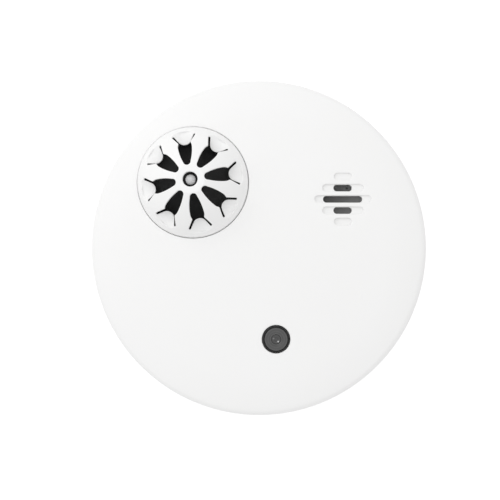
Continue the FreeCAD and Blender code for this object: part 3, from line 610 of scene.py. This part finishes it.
def front_cover():
    """The whole cover: face with rounded holes, sounder recesses and slots, edge, skirt and underside."""
    shell = Shell()
    cage_hole = circle(*CAGE, CAGE_RADIUS + SEAM, 160)
    button_hole = circle(*BUTTON, BUTTON_HOLE, 96)
    tops = []
    bottoms = []
    for hole, round_edge in ((cage_hole, CAGE_HOLE_ROUND), (button_hole, BUTTON_HOLE_ROUND)):
        top, wall = fillet(shell, hole, face_height, round_edge)
        low = shell.ring([(x, y, ROOF) for x, y in hole(0)])
        shell.bridge(wall, low)
        tops.append(top)
        bottoms.append(low)
    for row, wide, open_width in ROWS:
        y = GRILLE[1] + ROW_PITCH * row
        recess = stadium(GRILLE[0], y, wide, ROW_HEIGHT, SLOT_POINTS)
        top, wall = fillet(shell, recess, face_height, RECESS_ROUND)
        floor = shell.ring([(px, py, RECESS_FLOOR) for px, py in recess(-RECESS_DRAFT)])
        shell.bridge(wall, floor)
        tops.append(top)
        holes = []
        if open_width:
            slot = stadium(GRILLE[0], y, open_width, SLOT_HEIGHT, SLOT_POINTS)
            edge, inner = fillet(shell, slot, lambda px, py: RECESS_FLOOR, SLOT_ROUND, 3)
            low = shell.ring([(px, py, ROOF) for px, py in slot(0)])
            shell.bridge(inner, low)
            holes.append(edge)
            bottoms.append(low)
        fill_between(shell, floor, holes, lambda px, py: RECESS_FLOOR, FLOOR_NET)
    count = 256
    section = edge_arc[-1:] + arc_points((EDGE_RADIUS, EDGE_TOP), (COVER_RADIUS, EDGE_LOW), EDGE_ROUND, 10)
    section += [SKIRT_BULGE, (SKIRT_RADIUS, SKIRT_LOW + 0.25), (SKIRT_RADIUS - 0.25, SKIRT_LOW),
                (SKIRT_RADIUS - WALL, SKIRT_LOW), (SKIRT_RADIUS - WALL + 0.25, EDGE_LOW - 0.8),
                (SKIRT_RADIUS - WALL - 1.6, ROOF - 1.1), (UNDERSIDE_RADIUS, ROOF)]
    rings = [shell.ring([(r * math.cos(2 * math.pi * i / count), r * math.sin(2 * math.pi * i / count), z)
                         for i in range(count)]) for r, z in section]
    shell.chain(rings)
    fill_between(shell, rings[0], tops, face_height, FACE_NET)
    fill_between(shell, rings[-1], bottoms, lambda px, py: ROOF, ROOF_NET)
    cover = shell.make("front_cover_moulding", "white_moulding")
    dress(cover, "head", "white_moulding", "front_cover")


# ---------------------------------------------------------------- sensor cage

def dome_centre():
    """Middle of the dome's arc in a section: beyond the axis, so that the dome is steep at its foot."""
    run, fall = SHOULDER_RADIUS - HUB_RADIUS, CAGE_TOP - SHOULDER_TOP
    span = math.hypot(run, fall)
    lift = math.sqrt(DOME ** 2 - span ** 2 / 4) / span
    return HUB_RADIUS + run / 2 - fall * lift, CAGE_TOP - fall / 2 - run * lift


DOME_MIDDLE, DOME_LEVEL = dome_centre()


def dome_height(radius, skin=0.0):
    """Height of the cage's dome at a distance from its axis: flat at the hub, round outside it."""
    reach = max(radius, HUB_RADIUS) - DOME_MIDDLE
    return DOME_LEVEL + math.sqrt((DOME - skin) ** 2 - reach ** 2)


def window_side(side):
    """One side of a window from its hub end to the end of its fish-tail slot, in (along, across)."""
    place, half = WINDOW_END
    points = [(place - half * math.cos(t), side * half * math.sin(t)) for t in np.linspace(0.1, 1.5, 9)]
    points += arc_points(points[-1], (BELLY[0], side * BELLY[1]), 17, 12, side)
    points += arc_points((BELLY[0], side * BELLY[1]), (NECK[0], side * NECK[1]), 3, 8, side)
    return points + [(NECK[0] + (SLOT_TIP[0] - NECK[0]) * k / 8,
                      side * (NECK[1] + (SLOT_TIP[1] - NECK[1]) * k / 8)) for k in range(1, 9)]


def tongue_side(side):
    """One flank of a tongue from the end of its slot in to its tip."""
    near = (TONGUE_SHOULDER[0], side * TONGUE_SHOULDER[1])
    flank = arc_points(near, (TONGUE_ROOT[0], side * TONGUE_ROOT[1]), 20, 12, side)
    tip = arc_points((TONGUE_TIP, 0), near, 2.3, 7, side)
    return flank[::-1] + tip[::-1][:-1]


def smoothed(points):
    """A closed outline with its corners cut off at a quarter of each side."""
    loop = np.array(points)
    after = np.roll(loop, -1, axis=0)
    return np.stack([0.75 * loop + 0.25 * after, 0.25 * loop + 0.75 * after], axis=1).reshape(-1, 2)


def evened(loop, spacing):
    """The same closed outline with evenly spaced points."""
    closed = np.vstack([loop, loop[:1]])
    along = np.concatenate([[0], np.cumsum(np.hypot(*np.diff(closed, axis=0).T))])
    count = int(along[-1] / spacing)
    at = np.linspace(0, along[-1], count, endpoint=False)
    return np.stack([np.interp(at, along, closed[:, 0]), np.interp(at, along, closed[:, 1])], axis=1)


def window_opening():
    """The whole opening of one window: belly and two slots round the tongue's tip, run counter-clockwise."""
    right = window_side(-1)
    left = window_side(1)
    ends = arc_points(SLOT_TIP, TONGUE_ROOT, 0.41, 8, 1)[:-1]
    loop = right + [(x, -y) for x, y in ends] + tongue_side(-1) + [(TONGUE_TIP, 0)]
    loop += tongue_side(1)[::-1] + ends[::-1] + left[::-1]
    return evened(smoothed(loop), WINDOW_STEP)


def offset_loop(loop, offset):
    """An outline moved outwards by a distance."""
    before = np.roll(loop, 1, axis=0)
    after = np.roll(loop, -1, axis=0)
    way = after - before
    normal = np.stack([way[:, 1], -way[:, 0]], axis=1)
    normal /= np.linalg.norm(normal, axis=1)[:, None]
    return loop + normal * offset


def tongue_height(along, across):
    """The scooped face of a tongue: a trough from below the dome's edge, rising to the tip."""
    floor = dome_height(CHORD) - CHORD_DROP + (CHORD - along) * TONGUE_SLOPE
    return floor + SCOOP_RADIUS - math.sqrt(SCOOP_RADIUS ** 2 - min(abs(across), 5) ** 2)


def tongue_share(along, across):
    """1 on a tongue, 0 on the dome, with a narrow step between them."""
    if along > CHORD or along < TONGUE_TIP - 1:
        return 0.0
    flare = (SLOT_TIP[1] - NECK[1]) / (SLOT_TIP[0] - NECK[0])
    half = (NECK[1] + TONGUE_SHOULDER[1]) / 2 + max(0.0, along - NECK[0] - 0.3) * flare
    side = min(1.0, max(0.0, (half - abs(across)) / TONGUE_STEP + 0.5))
    edge = min(1.0, (CHORD - along) / TONGUE_FADE)
    return side * edge * edge * (3 - 2 * edge)


def in_sector(x, y):
    """A point of the cage in the (along, across) of its nearest window."""
    pitch = 2 * math.pi / WINDOWS
    angle = math.atan2(y, x)
    turn = round(angle / pitch) * pitch
    radius = math.hypot(x, y)
    return radius * math.cos(angle - turn), radius * math.sin(angle - turn)


def cage_height(x, y):
    """Outer face of the cage: the dome, with the tongues scooped out of it."""
    along, across = in_sector(x, y)
    dome = dome_height(math.hypot(x, y))
    share = tongue_share(along, across)
    return dome + share * min(0.0, tongue_height(along, across) - dome)


def cage_under(x, y):
    """Inner face of the cage, one wall below the outer one."""
    along, across = in_sector(x, y)
    dome = dome_height(math.hypot(x, y), CAGE_WALL)
    share = tongue_share(along, across)
    above = min(tongue_height(along, across), dome_height(math.hypot(x, y)))
    return dome + share * (above - TONGUE_WALL - dome)


def sensor_cage():
    """Domed cage with eight fish-tail windows and the scooped tongues that stand in them."""
    shell = Shell()
    opening = window_opening()
    tops = []
    bottoms = []
    for i in range(WINDOWS):
        turn = 2 * math.pi * i / WINDOWS
        spin = np.array([[math.cos(turn), math.sin(turn)], [-math.sin(turn), math.cos(turn)]])

        def outline(offset):
            return [tuple(p) for p in offset_loop(opening, offset) @ spin]
        top, wall = fillet(shell, outline, cage_height, WINDOW_ROUND)
        low = shell.ring([(x, y, cage_under(x, y)) for x, y in outline(WINDOW_DRAFT)])
        shell.bridge(wall, low)
        tops.append(top)
        bottoms.append(low)
    hub = circle(0, 0, HUB_HOLE, 72)
    top, wall = fillet(shell, hub, cage_height, HUB_ROUND)
    low = shell.ring([(x, y, cage_under(x, y)) for x, y in hub(0)])
    shell.bridge(wall, low)
    tops.append(top)
    bottoms.append(low)
    count = 192
    section = [(SHOULDER_RADIUS - 0.3, dome_height(SHOULDER_RADIUS - 0.3))]
    section += arc_points(section[0], (CAGE_RADIUS - 0.2, CAGE_FOOT + FOOT_STEP), SHOULDER_ROUND, 6)
    section += [(CAGE_RADIUS, CAGE_FOOT), (CAGE_RADIUS, FLANGE_TOP), (CAGE_RADIUS + FLANGE, FLANGE_TOP),
                (CAGE_RADIUS + FLANGE, FLANGE_FOOT), (CAGE_RADIUS - CAGE_WALL, FLANGE_FOOT),
                (CAGE_RADIUS - CAGE_WALL, CAGE_FOOT),
                (SHOULDER_RADIUS - CAGE_WALL, dome_height(SHOULDER_RADIUS - CAGE_WALL, CAGE_WALL))]
    rings = [shell.ring([(r * math.cos(2 * math.pi * i / count), r * math.sin(2 * math.pi * i / count), z)
                         for i in range(count)]) for r, z in section]
    shell.chain(rings)
    fill_between(shell, rings[0], tops, cage_height, CAGE_NET / detail)
    fill_between(shell, rings[-1], bottoms, cage_under, CAGE_UNDER_NET / detail)
    turn = Matrix.Rotation(CAGE_TURN, 3, "Z")
    shell.points = [tuple(turn @ Vector(p) + Vector((*CAGE, 0))) for p in shell.points]
    cage = shell.make("sensor_cage_moulding", "white_moulding")
    dress(cage, "head", "white_moulding", "sensor_cage")


# ---------------------------------------------------------------- button, lens and bead

def test_button():
    """Smoked cap: a moat inside its edge, its shade painted near black into the cap's colour, a raised disc
    with a groove, and the sleeve behind it.
    """
    bore = 1.67
    outline = rounded([
        (bore, 27.2), (2.65, 27.2), (2.65, 29.6), (6.3, 29.6, 0.2), (6.3, 31.1, 0.2), (BUTTON_RADIUS, 31.1),
        (BUTTON_RADIUS, 33.6, 0.2), (BUTTON_RADIUS - 0.25, 33.6, 0.12), (BUTTON_RADIUS - 0.35, 33.2, 0.1),
        (4.0, 33.2, 0.1), (3.9, BUTTON_TOP, 0.3), (2.3, 33.84, 0.3),
        (2.2, 33.76, 0.05), (2.1, 33.84, 0.1), (1.8, 33.8, 0.1), (bore, 33.7, 0.05)])
    cap = lathe("test_button_cap", outline, "smoked_button", BUTTON, 160)
    dress(cap, "button", "smoked_button", "test_button")


def light_guide():
    """Clear rod whose tip is a shallow dimple."""
    radius = 1.62
    outline = rounded([(0, 18.6), (1.45, 18.6), (radius, 19.6),
                       (radius, 33.68, 0.15), (1.2, 33.7, 0.2), (0, 33.3)])
    guide = lathe("light_guide_rod", outline, "smoked_clear", BUTTON, 96)
    dress(guide, "button", "smoked_clear", "light_guide")


def thermistor():
    """The bead as a dipped drop with a short drawn-out foot."""
    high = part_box("thermistor")[1]
    radius = 1.7
    centre = high[2] / MM - radius
    outline = [(0, centre - radius * 1.1)]
    outline += [(radius * math.cos(t), centre + radius * math.sin(t)) for t in np.linspace(-1.25, 1.5, 20)]
    outline += [(0, centre + radius)]
    bead = lathe("thermistor_bead", outline, "grey_bead", CAGE, 64)
    dress(bead, "head", "grey_bead", "thermistor")


def dress(piece, body, slot, *nodes):
    """A piece rides on its body and stands for its CAD nodes, which it hides; its slot is not used."""
    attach(piece, body)
    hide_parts(*nodes)


# ---------------------------------------------------------------- studio

EYE, LENS = (-3.08, -0.69, 305), 57.2
STUDIO_LIGHT = 0.865                    # light from all round, beside 1 for what is seen


def floor():
    """White board behind the alarm, which glows for the eye but gives no light of its own."""
    bpy.ops.mesh.primitive_grid_add(x_subdivisions=8, y_subdivisions=8, size=3)
    board = bpy.context.object
    board.name = "floor"
    finish = Finish("studio_floor", Roughness=0.9)
    finish.set(Base_Color=finish.between((0.80, 0.80, 0.80), (0.82, 0.82, 0.82), finish.noise(120)))
    glow = finish.between((0, 0, 0), (0.42, 0.42, 0.42), finish.seen())
    finish.set(Emission_Color=glow, Emission_Strength=1.0)
    board.data.materials.append(finish.material)


class Sky(Finish):
    """The studio round the alarm, made with the same maths as a finish."""

    def __init__(self, name, light):
        self.material = bpy.data.worlds.new(name)
        self.material.use_nodes = True
        self.tree = self.material.node_tree
        self.shader = self.tree.nodes["Background"]
        self.set(Color=(1.0, 1.0, 1.0), Strength=light + (1 - light) * self.seen())


def world():
    """White all round, a little dimmer for the light that it gives."""
    scene.world = Sky("studio", STUDIO_LIGHT).material


def lamp(name, place, target, size, power):
    """A square lamp that faces a target, in metres and watts."""
    light = bpy.data.lights.new(name, "AREA")
    light.size = size
    light.energy = power
    lamp_object = bpy.data.objects.new(name, light)
    lamp_object.location = place
    way = Vector(target) - Vector(place)
    lamp_object.rotation_euler = way.to_track_quat("-Z", "Y").to_euler()
    scene.collection.objects.link(lamp_object)


def camera():
    """Looks straight down at the face from a little to one side of its middle."""
    eye = bpy.data.cameras.new("camera")
    eye.lens = LENS
    eye.sensor_width = 36
    eye.clip_start = 0.01
    stand = bpy.data.objects.new("camera", eye)
    stand.location = [place * MM for place in EYE]
    scene.collection.objects.link(stand)
    scene.camera = stand


dress_frame()
front_cover()
sensor_cage()
test_button()
light_guide()
thermistor()
floor()
world()
lamp("main_light", (-0.22, 0.24, 0.42), (0, 0, 0.03), 0.5, 0.66)
lamp("glint", (-0.20, 0.22, 0.42), (0, 0, 0.03), 0.05, 0.03)
camera()
scene.view_settings.view_transform = "Standard"
